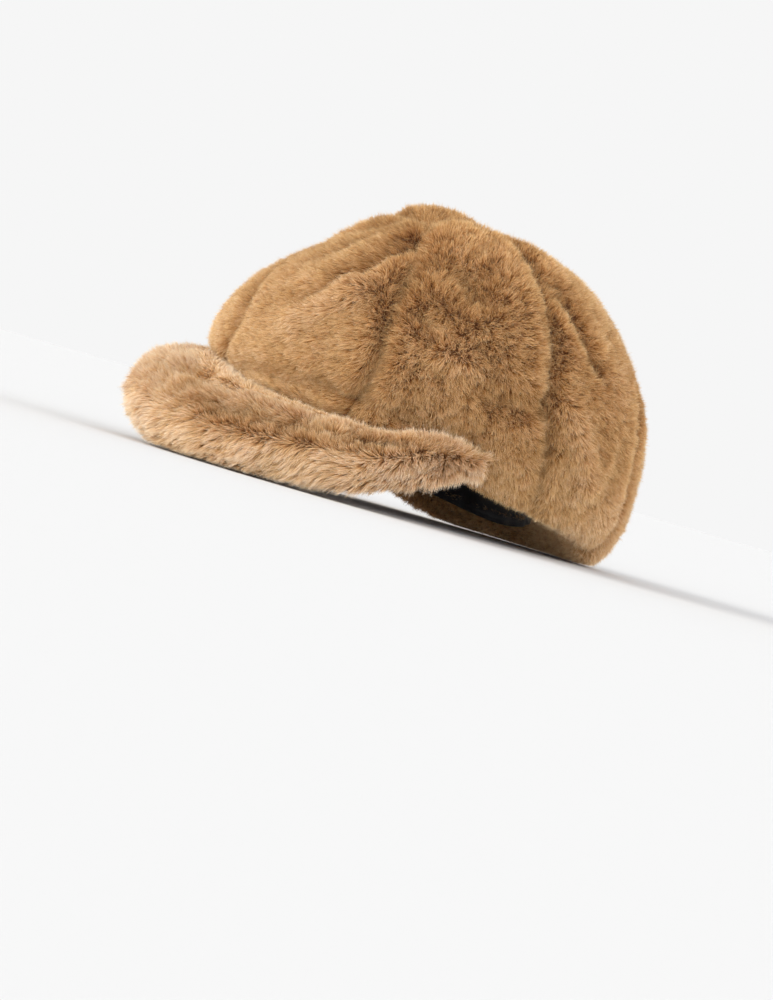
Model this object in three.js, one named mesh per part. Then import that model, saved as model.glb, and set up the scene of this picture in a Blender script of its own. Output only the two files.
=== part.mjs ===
// Faux fur baker boy cap: a full crown of eight sewn fur gores that slouches
// at the back, a soft padded fur peak, and a smooth black band inside the hem.
//
// Frame: millimetres, +Z up, the cap resting on its peak and on the droop of
// its back. The peak points to -Y, the wearer's left is +X. Azimuths are in
// degrees about the head opening's axis, 0 at the peak's middle (-Y), 90 at +X.
import * as THREE from 'three';

// ---- driving dimensions (mm) ----
const OPENING_LONG = 196;     // head opening, front to back, inside the band
const OPENING_WIDE = 164;     // head opening, side to side, inside the band
const BAND_THICK = 1.6;       // woven band
const BAND_HEIGHT = 26;       // band, from its lower edge up
const BAND_DROP = 3.5;        // how far the band shows below the crown's hem line
const GAP = 0.5;              // between neighbouring pieces
const HEM_GAP = 0.9;          // between the band and the facets of the fur around it
const PEAK_GAP = 1.2;         // between the peak and the crown's roll over it
const WALL = 10;              // fur wall: knitted backing and pile together
const WALL_PRESSED = 4.5;     // the wall where the cap's weight presses it flat
const SEAM_VALLEY = 7;        // how deep the seams pull in between the gores
const SEAM_WIDTH = 6.5;         // half width of a seam's valley
const APEX_RADIUS = 1.2;      // where the gores' points meet
const FLOOR = 0;              // the surface that the cap rests on
const PRESS = 7;              // height over which the resting fur flattens out
const CROWN_AROUND = 7;       // facets across one gore
const CROWN_UP = 23;          // facets from hem to apex
const PEAK_AROUND = 50;       // sections along the peak
const PEAK_SECTION = 16;      // facets round one section
const BAND_AROUND = 64;

// The point where the gores meet, and the height of the crown there.
const APEX = { x: 12, y: -30, z: 176 };

// The crown's outer form: a row for each azimuth. Each pair is a radius from
// the opening's axis and a height: the sewn hem, the underside of the roll
// over it, the widest line, the shoulder, and the crest before the apex.
const CROWN = [
  { az:   0, hem_r:  99, hem_z: 43, low_r: 108, low_z: 48, wide_r: 125, wide_z:  74, high_r: 106, high_z: 117, crest_r:  54, crest_z: 157 },
  { az:  45, hem_r:  91, hem_z: 38, low_r: 102, low_z: 42, wide_r: 130, wide_z:  77, high_r: 116, high_z: 128, crest_r:  62, crest_z: 171 },
  { az:  90, hem_r:  84, hem_z: 31, low_r:  98, low_z: 28, wide_r: 134, wide_z:  77, high_r: 124, high_z: 136, crest_r:  72, crest_z: 179 },
  { az: 135, hem_r:  91, hem_z: 22, low_r: 130, low_z: 15, wide_r: 150, wide_z:  56, high_r: 142, high_z: 114, crest_r:  90, crest_z: 169 },
  { az: 180, hem_r:  99, hem_z: 14, low_r: 150, low_z:-12, wide_r: 163, wide_z:  46, high_r: 144, high_z: 116, crest_r:  92, crest_z: 179 },
  { az: 225, hem_r:  91, hem_z: 22, low_r: 120, low_z:  8, wide_r: 144, wide_z:  58, high_r: 128, high_z: 128, crest_r:  72, crest_z: 191 },
  { az: 270, hem_r:  84, hem_z: 32, low_r: 100, low_z: 29, wide_r: 128, wide_z:  76, high_r: 110, high_z: 134, crest_r:  53, crest_z: 177 },
  { az: 315, hem_r:  91, hem_z: 41, low_r: 104, low_z: 48, wide_r: 128, wide_z:  74, high_r: 105, high_z: 117, crest_r:  50, crest_z: 157 },
];

// The eight seams: the azimuth of each at the hem, half way and near the apex.
const SEAMS = [
  { name: 'front',       hem_az: -36, mid_az: -14, top_az: -38 },
  { name: 'front_left',  hem_az:  31, mid_az:  41, top_az:  47 },
  { name: 'left',        hem_az: 108, mid_az:  88, top_az:  91 },
  { name: 'back_left',   hem_az: 146, mid_az: 130, top_az: 138 },
  { name: 'back',        hem_az: 188, mid_az: 180, top_az: 180 },
  { name: 'back_right',  hem_az: 228, mid_az: 222, top_az: 204 },
  { name: 'right',       hem_az: 268, mid_az: 268, top_az: 262 },
  { name: 'front_right', hem_az: 300, mid_az: 304, top_az: 296 },
];

// A gore lies between one seam and the next.
const GORES = [
  { node: 'crown_panel_front_left',      from: 0 },
  { node: 'crown_panel_left',            from: 1 },
  { node: 'crown_panel_back_left_side',  from: 2 },
  { node: 'crown_panel_back_left',       from: 3 },
  { node: 'crown_panel_back_right',      from: 4 },
  { node: 'crown_panel_back_right_side', from: 5 },
  { node: 'crown_panel_right',           from: 6 },
  { node: 'crown_panel_front_right',     from: 7 },
];

// Folds and dents in the crown: each runs from (az0, up0) to (az1, up1), where
// up is 0 at the hem and 1 at the apex; rise is out (+) or in (-).
const FOLDS = [
  { az0:  46, up0: 0.81, az1:  29, up1: 0.63, width: 10, rise:  6 },
  { az0:  29, up0: 0.63, az1:  13, up1: 0.53, width: 11, rise:  6 },
  { az0:  41, up0: 0.79, az1:  26, up1: 0.68, width:  9, rise: -12 },
  { az0:  26, up0: 0.68, az1:  13, up1: 0.60, width:  9, rise: -8 },
  { az0:   6, up0: 0.84, az1:  -2, up1: 0.76, width: 13, rise: -5 },
  { az0:  64, up0: 0.70, az1:  65, up1: 0.66, width: 13, rise: -8 },
  { az0:  50, up0: 0.59, az1:  54, up1: 0.57, width:  9, rise: -5 },
  { az0:  57, up0: 0.51, az1:  62, up1: 0.50, width: 10, rise:  3 },
  { az0:  84, up0: 0.43, az1:  73, up1: 0.42, width: 13, rise: -6 },
  { az0:  24, up0: 0.30, az1:  32, up1: 0.26, width: 12, rise: -4 },
  { az0:  98, up0: 0.72, az1: 105, up1: 0.60, width: 10, rise: -8 },
  { az0:  96, up0: 0.47, az1: 112, up1: 0.30, width:  9, rise:  5 },
  { az0: 120, up0: 0.44, az1: 122, up1: 0.22, width: 11, rise: -4 },
  { az0: 160, up0: 0.62, az1: 158, up1: 0.40, width: 16, rise: -6 },
  { az0: 208, up0: 0.72, az1: 202, up1: 0.48, width: 14, rise: -7 },
  { az0: 246, up0: 0.60, az1: 250, up1: 0.40, width: 15, rise: -6 },
  { az0: 286, up0: 0.70, az1: 280, up1: 0.46, width: 13, rise: -6 },
];

// The peak: a row for each azimuth. Where it is sewn on (root), its rim (tip),
// its thickness there, and how far its middle line bows up.
const PEAK = [
  { az: -86, root_r:  99, root_z: 36, tip_r: 110, tip_z: 37, thick: 14, bow: 0 },
  { az: -70, root_r: 102, root_z: 49, tip_r: 136, tip_z: 39, thick: 30, bow: 3 },
  { az: -40, root_r: 106, root_z: 53, tip_r: 163, tip_z: 27, thick: 39, bow: 8 },
  { az:   0, root_r: 111, root_z: 43, tip_r: 169, tip_z:  3, thick: 38, bow: 7 },
  { az:  40, root_r: 106, root_z: 36, tip_r: 158, tip_z: 12, thick: 36, bow: 6 },
  { az:  62, root_r: 104, root_z: 41, tip_r: 136, tip_z: 31, thick: 34, bow: 3 },
  { az:  77, root_r: 104, root_z: 41, tip_r: 117, tip_z: 42, thick: 23, bow: 0 },
];

const RAD = Math.PI / 180;
const mix = (a, b, t) => a + (b - a) * t;
const clamp = (v, lo, hi) => Math.min(hi, Math.max(lo, v));
const smooth = (t) => { const c = clamp(t, 0, 1); return c * c * (3 - 2 * c); };

// One value of a smooth curve through four neighbours.
function cubic(p0, p1, p2, p3, t) {
  const a = 2 * p1, b = p2 - p0, c = 2 * p0 - 5 * p1 + 4 * p2 - p3, d = 3 * p1 - p0 - 3 * p2 + p3;
  return 0.5 * (a + b * t + c * t * t + d * t * t * t);
}

// A column of the crown's table at any azimuth, smooth all the way round.
function crownColumn(column, az) {
  const n = CROWN.length, step = 360 / n;
  const s = ((az % 360) + 360) % 360 / step;
  const i = Math.floor(s), t = s - i;
  const at = (k) => CROWN[(i + k + n) % n][column];
  return cubic(at(-1), at(0), at(1), at(2), t);
}

// A column of a table with a start and an end, at any azimuth between them.
function rowColumn(rows, column, az) {
  let i = 0;
  while (i < rows.length - 2 && az > rows[i + 1].az) i++;
  const at = (k) => rows[clamp(i + k, 0, rows.length - 1)][column];
  return cubic(at(-1), at(0), at(1), at(2), clamp((az - rows[i].az) / (rows[i + 1].az - rows[i].az), 0, 1));
}

// The flattening of what rests on the floor.
function rest(z) {
  const t = (z - FLOOR + 0.3 * PRESS) / (1.3 * PRESS);
  return t > 1 ? z : FLOOR + PRESS * Math.max(0, t) ** 1.3;
}

function seamAzimuth(k, up) {
  const n = SEAMS.length, turn = Math.floor(k / n) * 360, s = SEAMS[((k % n) + n) % n];
  return turn + (up < 0.5
    ? mix(s.hem_az, s.mid_az, smooth((up - 0.04) / 0.46))
    : mix(s.mid_az, s.top_az, smooth((up - 0.5) / 0.42)));
}

// How the inner face lies from the outer one, in wall thicknesses, at the hem,
// the roll, the widest line, the shoulder, the crest and the apex.
const INWARD = [
  { r:  0.0, z:  0.45 },
  { r: -0.5, z:  0.8 },
  { r: -1.0, z:  0.0 },
  { r: -0.8, z: -0.6 },
  { r: -0.5, z: -0.9 },
  { r:  0.0, z: -1.0 },
];

// The crown before its seams and folds, at the outside or a wall inside it.
function crownForm(az, up, wall = 0) {
  const c = (name, k, axis) => (k === 5 ? (axis === 'r' ? APEX_RADIUS : APEX.z) : crownColumn(name + '_' + axis, az)) + wall * INWARD[k][axis];
  const names = ['hem', 'low', 'wide', 'high', 'crest', 'apex'];
  const rs = names.map((name, k) => c(name, k, 'r'));
  const zs = names.map((name, k) => c(name, k, 'z'));
  const stops = [0, 0.12, 0.40, 0.64, 0.84, 1];
  let i = 0;
  while (i < stops.length - 2 && up > stops[i + 1]) i++;
  const t = (up - stops[i]) / (stops[i + 1] - stops[i]);
  // Hermite pieces, with slopes from the neighbouring stops
  const slope = (v, k) => {
    if (k === 0) return (v[1] - v[0]) / (stops[1] - stops[0]);
    if (k === stops.length - 1) return (v[k] - v[k - 1]) / (stops[k] - stops[k - 1]);
    return (v[k + 1] - v[k - 1]) / (stops[k + 1] - stops[k - 1]);
  };
  const piece = (v, flatEnd) => {
    const h = stops[i + 1] - stops[i];
    const m0 = slope(v, i) * h, m1 = (flatEnd && i === stops.length - 2 ? 0 : slope(v, i + 1)) * h;
    const t2 = t * t, t3 = t2 * t;
    return (2 * t3 - 3 * t2 + 1) * v[i] + (t3 - 2 * t2 + t) * m0 + (3 * t2 - 2 * t3) * v[i + 1] + (t3 - t2) * m1;
  };
  const r = piece(rs, false), z = piece(zs, true);
  const shift = smooth((up - 0.25) / 0.75);
  return new THREE.Vector3(
    r * Math.sin(az * RAD) + APEX.x * shift,
    -r * Math.cos(az * RAD) + APEX.y * shift,
    z,
  );
}

function formNormal(az, up) {
  const e = 1.5, f = 0.012;
  const a = crownForm(az + e, up).sub(crownForm(az - e, up));
  const b = crownForm(az, Math.min(1, up + f)).sub(crownForm(az, Math.max(0, up - f)));
  return a.cross(b).normalize();
}

// How far the surface stands out or in at a point: seams and folds.
function relief(az, up, point) {
  const r = Math.hypot(point.x - APEX.x * smooth((up - 0.25) / 0.75), point.y - APEX.y * smooth((up - 0.25) / 0.75));
  let d = 0;
  for (let k = -1; k <= SEAMS.length; k++) {
    const across = (az - seamAzimuth(k, up)) * RAD * r;
    const width = Math.min(SEAM_WIDTH, 0.28 * r + 1);
    d -= SEAM_VALLEY * smooth(up / 0.28) * smooth(r / 40) * Math.exp(-((across / width) ** 2));
  }
  for (const f of FOLDS) {
    const len = 300;                       // arc length from hem to apex, about
    const vx = (f.az1 - f.az0) * RAD * r, vy = (f.up1 - f.up0) * len;
    for (const turn of [-360, 0, 360]) {
      const px = (az + turn - f.az0) * RAD * r, py = (up - f.up0) * len;
      const t = clamp((px * vx + py * vy) / Math.max(1e-6, vx * vx + vy * vy), 0, 1);
      const dist = Math.hypot(px - vx * t, py - vy * t);
      d += f.rise * Math.exp(-((dist / f.width) ** 2));
    }
  }
  return d;
}

// The outside of the band, as a radius from the opening's axis.
function bandRadius(az) {
  const a = OPENING_LONG / 2 + BAND_THICK, b = OPENING_WIDE / 2 + BAND_THICK;
  return a * b / Math.hypot(b * Math.cos(az * RAD), a * Math.sin(az * RAD));
}

// Keeps a point outside the band.
function clearOfBand(p) {
  const r = Math.hypot(p.x, p.y), need = bandRadius(Math.atan2(p.x, -p.y) / RAD) + HEM_GAP;
  if (r < need && r > 40) { p.x *= need / r; p.y *= need / r; }
}

// The outer and the inner face of the crown at an azimuth and a height.
function crownFaces(az, up) {
  const base = crownForm(az, up);
  const normal = formNormal(az, up);
  const out = base.clone().addScaledVector(normal, relief(az, up, base));
  const inn = crownForm(az, up, WALL).addScaledVector(normal, relief(az, up, base));
  if (up < 0.3) { clearOfBand(out); clearOfBand(inn); }
  out.z = rest(out.z);
  inn.z = Math.max(inn.z, out.z + mix(WALL_PRESSED, -2 * WALL, smooth((out.z - PRESS) / (2 * PRESS))));
  return { out, inn };
}

// ---- building closed bodies ----
class Body {
  constructor() { this.positions = []; this.index = []; }
  point(v) { this.positions.push(v.x, v.y, v.z); return this.positions.length / 3 - 1; }
  quad(a, b, c, d) { this.index.push(a, b, c, a, c, d); }
  mesh(name, material) {
    const geometry = new THREE.BufferGeometry();
    geometry.setAttribute('position', new THREE.Float32BufferAttribute(this.positions, 3));
    geometry.setIndex(this.index);
    geometry.computeVertexNormals();
    const mesh = new THREE.Mesh(geometry, material);
    mesh.name = name;
    return mesh;
  }
}

// A gore: a grid of outer points and a grid of inner points, joined at the rim.
function gore(spec, material) {
  const body = new Body();
  const outer = [], inner = [];
  for (let j = 0; j <= CROWN_UP; j++) {
    const up = 1 - (1 - j / CROWN_UP) ** 1.08;
    const a0 = seamAzimuth(spec.from, up), a1 = seamAzimuth(spec.from + 1, up);
    const mid = crownForm((a0 + a1) / 2, up), shift = smooth((up - 0.25) / 0.75);
    const r = Math.max(APEX_RADIUS, Math.hypot(mid.x - APEX.x * shift, mid.y - APEX.y * shift));
    const trim = (GAP / 2) / r / RAD;
    outer.push([]); inner.push([]);
    for (let i = 0; i <= CROWN_AROUND; i++) {
      const az = mix(a0 + trim, a1 - trim, i / CROWN_AROUND);
      const { out, inn } = crownFaces(az, up);
      outer[j].push(body.point(out));
      inner[j].push(body.point(inn));
    }
  }
  for (let j = 0; j < CROWN_UP; j++) {
    for (let i = 0; i < CROWN_AROUND; i++) {
      body.quad(outer[j][i], outer[j][i + 1], outer[j + 1][i + 1], outer[j + 1][i]);
      body.quad(inner[j][i], inner[j + 1][i], inner[j + 1][i + 1], inner[j][i + 1]);
    }
    const e = CROWN_AROUND;
    body.quad(outer[j][0], outer[j + 1][0], inner[j + 1][0], inner[j][0]);
    body.quad(outer[j][e], inner[j][e], inner[j + 1][e], outer[j + 1][e]);
  }
  for (let i = 0; i < CROWN_AROUND; i++) {
    const t = CROWN_UP;
    body.quad(outer[0][i], inner[0][i], inner[0][i + 1], outer[0][i + 1]);
    body.quad(outer[t][i], outer[t][i + 1], inner[t][i + 1], inner[t][i]);
  }
  return body.mesh(spec.node, material);
}

// The lower half of the crown's outside at one azimuth, from the hem out.
function crownProfile(az) {
  const rows = [];
  for (let up = 0; up <= 0.44; up += 0.02) {
    const p = crownForm(az, up);
    rows.push({ r: Math.hypot(p.x, p.y), z: p.z });
  }
  return rows;
}

// The peak: padded sections along an arc, closed to a rounded end at each side.
// The crown's roll lies on it, so the section gives way to the roll.
function peakPoint(az, turn, profile) {
  const c = (name) => rowColumn(PEAK, name, az);
  const root = { r: c('root_r'), z: c('root_z') }, tip = { r: c('tip_r'), z: c('tip_z') };
  const thick = c('thick'), bow = c('bow');
  // an oval section whose long axis runs from root to tip
  const along = (1 - Math.cos(turn)) / 2;                  // 0 at the root, 1 at the tip
  const side = Math.sin(turn);                             // + above, - below
  const dr = tip.r - root.r, dz = tip.z - root.z, len = Math.hypot(dr, dz) || 1;
  const fat = thick / 2 * Math.sign(side) * Math.abs(side) ** 0.75 * mix(0.72, 1, smooth(along * 1.4));
  const arch = bow * 4 * along * (1 - along);
  let r = root.r + dr * along - dz / len * (fat + arch);
  let z = root.z + dz * along + dr / len * (fat + arch);
  const low = profile.reduce((a, b) => (b.z < a.z ? b : a));
  for (let k = profile.length - 1; k > 0 && z > low.z; k--) {
    const a = profile[k - 1], b = profile[k];
    if (a.z <= z && z <= b.z) { r = Math.max(r, mix(a.r, b.r, (z - a.z) / (b.z - a.z || 1)) + PEAK_GAP); break; }
  }
  if (r < low.r + 3) z = Math.min(z, low.z - PEAK_GAP);
  return new THREE.Vector3(r * Math.sin(az * RAD), -r * Math.cos(az * RAD), rest(z));
}

function peak(material) {
  const body = new Body();
  const rings = [];
  const first = PEAK[0].az, last = PEAK[PEAK.length - 1].az;
  for (let j = 0; j <= PEAK_AROUND; j++) {
    const az = mix(first, last, j / PEAK_AROUND);
    rings.push([]);
    const profile = crownProfile(az);
    for (let i = 0; i < PEAK_SECTION; i++) rings[j].push(body.point(peakPoint(az, i / PEAK_SECTION * Math.PI * 2, profile)));
  }
  for (let j = 0; j < PEAK_AROUND; j++) {
    for (let i = 0; i < PEAK_SECTION; i++) {
      const n = (i + 1) % PEAK_SECTION;
      body.quad(rings[j][i], rings[j][n], rings[j + 1][n], rings[j + 1][i]);
    }
  }
  for (const [ring, flip] of [[rings[0], false], [rings[PEAK_AROUND], true]]) {
    const mid = new THREE.Vector3();
    for (const k of ring) mid.add(new THREE.Vector3(...body.positions.slice(3 * k, 3 * k + 3)));
    const c = body.point(mid.multiplyScalar(1 / PEAK_SECTION));
    for (let i = 0; i < PEAK_SECTION; i++) {
      const n = (i + 1) % PEAK_SECTION;
      if (flip) body.index.push(c, ring[i], ring[n]); else body.index.push(c, ring[n], ring[i]);
    }
  }
  return body.mesh('peak', material);
}

// The band: a thin upright loop inside the hem.
function band(material) {
  const body = new Body();
  const rings = [];
  for (let j = 0; j < BAND_AROUND; j++) {
    const az = j / BAND_AROUND * 360, s = Math.sin(az * RAD), c = Math.cos(az * RAD);
    const zb = crownColumn('hem_z', az) - BAND_DROP, zt = zb + BAND_HEIGHT;
    const at = (grow, z) => body.point(new THREE.Vector3((OPENING_WIDE / 2 + grow) * s, -(OPENING_LONG / 2 + grow) * c, z));
    rings.push([at(0, zb), at(BAND_THICK, zb), at(BAND_THICK, zt), at(0, zt)]);
  }
  for (let j = 0; j < BAND_AROUND; j++) {
    const n = (j + 1) % BAND_AROUND;
    for (let i = 0; i < 4; i++) {
      const m = (i + 1) % 4;
      body.quad(rings[j][i], rings[n][i], rings[n][m], rings[j][m]);
    }
  }
  return body.mesh('inner_band', material);
}

// ---- the cap ----
const fur = () => new THREE.MeshStandardMaterial({ color: 0xb98b5c, roughness: 0.95, metalness: 0 });
const cap = new THREE.Group();
cap.name = 'faux_fur_baker_boy_cap';
for (const spec of GORES) cap.add(gore(spec, fur()));
cap.add(peak(fur()));
cap.add(band(new THREE.MeshStandardMaterial({ color: 0x16151a, roughness: 0.45, metalness: 0 })));

// The origin is the middle of the cap's plan, on the surface that it rests on.
const box = new THREE.Box3().setFromObject(cap);
cap.position.set(-(box.min.x + box.max.x) / 2, -(box.min.y + box.max.y) / 2, -box.min.z);
cap.updateMatrixWorld(true);

export default cap;
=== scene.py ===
"""Faux fur baker boy cap: eight fur gores, a padded fur peak and a black band.

Millimetres about the head opening's axis are used for the forms, and the last
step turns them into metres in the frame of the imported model.
"""
import math

import bpy
import numpy as np
from mathutils import Matrix, Vector


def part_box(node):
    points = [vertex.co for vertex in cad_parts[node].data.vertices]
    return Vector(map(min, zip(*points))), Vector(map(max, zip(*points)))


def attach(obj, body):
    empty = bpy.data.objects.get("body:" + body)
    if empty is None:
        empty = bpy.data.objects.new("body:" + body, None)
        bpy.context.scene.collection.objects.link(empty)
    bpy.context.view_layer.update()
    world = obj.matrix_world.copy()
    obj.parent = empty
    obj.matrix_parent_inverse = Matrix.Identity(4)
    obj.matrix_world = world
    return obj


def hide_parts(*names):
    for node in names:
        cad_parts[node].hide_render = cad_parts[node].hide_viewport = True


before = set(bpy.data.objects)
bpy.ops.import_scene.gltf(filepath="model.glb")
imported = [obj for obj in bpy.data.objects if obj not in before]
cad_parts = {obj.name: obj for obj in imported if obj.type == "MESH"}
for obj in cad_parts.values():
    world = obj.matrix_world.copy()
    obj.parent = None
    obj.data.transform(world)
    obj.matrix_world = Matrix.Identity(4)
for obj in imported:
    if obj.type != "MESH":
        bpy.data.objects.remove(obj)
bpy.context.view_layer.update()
scene = bpy.context.scene
root_body = "root"

# The opening's axis is the middle of the band.
_lo, _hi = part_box("inner_band")
AXIS_X, AXIS_Y = (_lo.x + _hi.x) * 500, (_lo.y + _hi.y) * 500


def metres(p):
    """Points in mm about the opening's axis, as metres in the model's frame."""
    return (np.asarray(p, float) + np.array([AXIS_X, AXIS_Y, 0.0])) / 1000.0


# ---------------------------------------------------------------- camera
CAM_AZ, CAM_EL, CAM_ROLL = math.radians(50.0), math.radians(-1.5), math.radians(16.2)
CAM_DISTANCE = 2.0
LOOK = Vector(metres([0, 0, 95]))
cam_data = bpy.data.cameras.new("camera")
cam_data.sensor_width = 36.0
cam_data.lens = 116.64
cam_data.clip_start, cam_data.clip_end = 0.05, 200.0
cam = bpy.data.objects.new("camera", cam_data)
scene.collection.objects.link(cam)
scene.camera = cam
_back = Vector((math.sin(CAM_AZ) * math.cos(CAM_EL), -math.cos(CAM_AZ) * math.cos(CAM_EL), math.sin(CAM_EL)))
_right = Vector((math.cos(CAM_AZ), math.sin(CAM_AZ), 0))
_up = _back.cross(_right)
_r = math.cos(CAM_ROLL) * _right + math.sin(CAM_ROLL) * _up
_u = -math.sin(CAM_ROLL) * _right + math.cos(CAM_ROLL) * _up
_m = Matrix((_r, _u, _back)).transposed()
_aim = Vector((34.6, 139.7, -3240.0)).normalized().rotation_difference(Vector((0, 0, -1)))
cam.matrix_world = Matrix.Translation(LOOK + _back * CAM_DISTANCE) @ (_m @ _aim.to_matrix()).to_4x4()
cam_left = np.array([-math.cos(CAM_AZ), -math.sin(CAM_AZ), 0.0])   # level, to the view's left

# ---------------------------------------------------------------- forms (mm)
OPENING_LONG, OPENING_WIDE = 196.0, 164.0
BAND_THICK, BAND_HEIGHT, BAND_DROP = 1.6, 26.0, 3.5
GAP, HEM_GAP, PEAK_GAP = 0.5, 0.9, 1.2
WALL, WALL_PRESSED = 10.0, 4.5
SEAM_VALLEY, SEAM_WIDTH = 7.0, 6.5
APEX_RADIUS, PRESS = 1.2, 7.0
APEX_X, APEX_Y, APEX_Z = 12.0, -30.0, 176.0

# The crown, by azimuth in steps of 45 degrees: radius and height of the hem,
# the underside of the roll, the widest line, the shoulder and the crest.
CROWN_COLUMNS = ("hem_r", "hem_z", "low_r", "low_z", "wide_r", "wide_z", "high_r", "high_z", "crest_r", "crest_z")
CROWN = [
    (99, 43, 108, 48, 125, 74, 106, 117, 54, 157),
    (91, 38, 102, 42, 130, 77, 116, 128, 62, 171),
    (84, 31, 98, 28, 134, 77, 124, 136, 72, 179),
    (91, 22, 130, 15, 150, 56, 142, 114, 90, 169),
    (99, 14, 150, -12, 163, 46, 144, 116, 92, 179),
    (91, 22, 120, 8, 144, 58, 128, 128, 72, 191),
    (84, 32, 100, 29, 128, 76, 110, 134, 53, 177),
    (91, 41, 104, 48, 128, 74, 105, 117, 50, 157),
]
# The seams: azimuth at the hem, half way up and near the apex.
SEAMS = [(-36, -14, -38), (31, 41, 47), (108, 88, 91), (146, 130, 138),
         (188, 180, 180), (228, 222, 204), (268, 268, 262), (300, 304, 296)]
GORES = ["crown_panel_front_left", "crown_panel_left", "crown_panel_back_left_side", "crown_panel_back_left",
         "crown_panel_back_right", "crown_panel_back_right_side", "crown_panel_right", "crown_panel_front_right"]
# Folds and dents: from (azimuth, up) to (azimuth, up), half width, rise.
FOLDS = [
    (46, 0.81, 29, 0.63, 10, 6), (29, 0.63, 13, 0.53, 11, 6), (41, 0.79, 26, 0.68, 9, -12),
    (26, 0.68, 13, 0.60, 9, -8), (6, 0.84, -2, 0.76, 13, -5), (64, 0.70, 65, 0.66, 13, -8),
    (50, 0.59, 54, 0.57, 9, -5), (57, 0.51, 62, 0.50, 10, 3), (84, 0.43, 73, 0.42, 13, -6),
    (24, 0.30, 32, 0.26, 12, -4), (98, 0.72, 105, 0.60, 10, -8), (96, 0.47, 112, 0.30, 9, 5),
    (120, 0.44, 122, 0.22, 11, -4), (160, 0.62, 158, 0.40, 16, -6), (208, 0.72, 202, 0.48, 14, -7),
    (246, 0.60, 250, 0.40, 15, -6), (286, 0.70, 280, 0.46, 13, -6),
]
# The peak: azimuth, root radius and height, rim radius and height, thickness, bow.
PEAK = [(-86, 99, 36, 110, 37, 14, 0), (-70, 102, 49, 136, 39, 30, 3), (-40, 106, 53, 163, 27, 39, 8),
        (0, 111, 43, 169, 3, 38, 7), (40, 106, 36, 158, 12, 36, 6), (62, 104, 41, 136, 31, 34, 3),
        (77, 104, 41, 117, 42, 23, 0)]
# The inner face from the outer one, in walls, at the six heights of the form.
INWARD = [(0.0, 0.45), (-0.5, 0.8), (-1.0, 0.0), (-0.8, -0.6), (-0.5, -0.9), (0.0, -1.0)]
STOPS = np.array([0, 0.12, 0.40, 0.64, 0.84, 1.0])
RAD = math.pi / 180


def mix(a, b, t):
    return a + (b - a) * t


def smooth(t):
    c = np.clip(t, 0, 1)
    return c * c * (3 - 2 * c)


def cubic(p0, p1, p2, p3, t):
    a, b, c, d = 2 * p1, p2 - p0, 2 * p0 - 5 * p1 + 4 * p2 - p3, 3 * p1 - p0 - 3 * p2 + p3
    return 0.5 * (a + b * t + c * t * t + d * t * t * t)


def crown_column(name, az):
    col = np.array([row[CROWN_COLUMNS.index(name)] for row in CROWN], float)
    s = np.mod(az, 360) / 45
    i = np.floor(s).astype(int)
    return cubic(col[(i - 1) % 8], col[i % 8], col[(i + 1) % 8], col[(i + 2) % 8], s - i)


def peak_column(k, az):
    rows = np.array(PEAK, float)
    i = int(np.clip(np.searchsorted(rows[:, 0], az, side="left") - 1, 0, len(rows) - 2))
    at = lambda j: rows[min(max(i + j, 0), len(rows) - 1), k]
    t = min(max((az - rows[i, 0]) / (rows[i + 1, 0] - rows[i, 0]), 0), 1)
    return cubic(at(-1), at(0), at(1), at(2), t)


def rest(z):
    t = (z + 0.3 * PRESS) / (1.3 * PRESS)
    return np.where(t > 1, z, PRESS * np.maximum(0, t) ** 1.3)


def seam_azimuth(k, up):
    turn, (hem, mid, top) = (k // 8) * 360, SEAMS[k % 8]
    return turn + np.where(up < 0.5, mix(hem, mid, smooth((up - 0.04) / 0.46)), mix(mid, top, smooth((up - 0.5) / 0.42)))


def crown_form(az, up, wall=0.0):
    """The crown before its seams and folds, at the outside or a wall inside it."""
    names = ("hem", "low", "wide", "high", "crest")
    rs = np.stack([crown_column(n + "_r", az) for n in names] + [np.full_like(az, APEX_RADIUS)])
    zs = np.stack([crown_column(n + "_z", az) for n in names] + [np.full_like(az, APEX_Z)])
    rs = rs + wall * np.array([k[0] for k in INWARD])[:, None]
    zs = zs + wall * np.array([k[1] for k in INWARD])[:, None]
    i = np.clip(np.searchsorted(STOPS, up, side="left") - 1, 0, 4)
    h = STOPS[i + 1] - STOPS[i]
    t = (up - STOPS[i]) / h
    col = np.arange(len(az))

    def piece(v, flat_end):
        slopes = np.empty_like(v)
        slopes[0] = (v[1] - v[0]) / (STOPS[1] - STOPS[0])
        slopes[5] = 0 if flat_end else (v[5] - v[4]) / (STOPS[5] - STOPS[4])
        for k in range(1, 5):
            slopes[k] = (v[k + 1] - v[k - 1]) / (STOPS[k + 1] - STOPS[k - 1])
        m0, m1, t2, t3 = slopes[i, col] * h, slopes[i + 1, col] * h, t * t, t * t * t
        return (2 * t3 - 3 * t2 + 1) * v[i, col] + (t3 - 2 * t2 + t) * m0 + (3 * t2 - 2 * t3) * v[i + 1, col] + (t3 - t2) * m1

    r, z, shift = piece(rs, False), piece(zs, True), smooth((up - 0.25) / 0.75)
    return np.stack([r * np.sin(az * RAD) + APEX_X * shift, -r * np.cos(az * RAD) + APEX_Y * shift, z], 1)


def unit(v):
    return v / np.maximum(np.linalg.norm(v, axis=-1, keepdims=True), 1e-9)


def form_normal(az, up):
    a = crown_form(az + 1.5, up) - crown_form(az - 1.5, up)
    b = crown_form(az, np.minimum(1, up + 0.012)) - crown_form(az, np.maximum(0, up - 0.012))
    return unit(np.cross(a, b))


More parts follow.
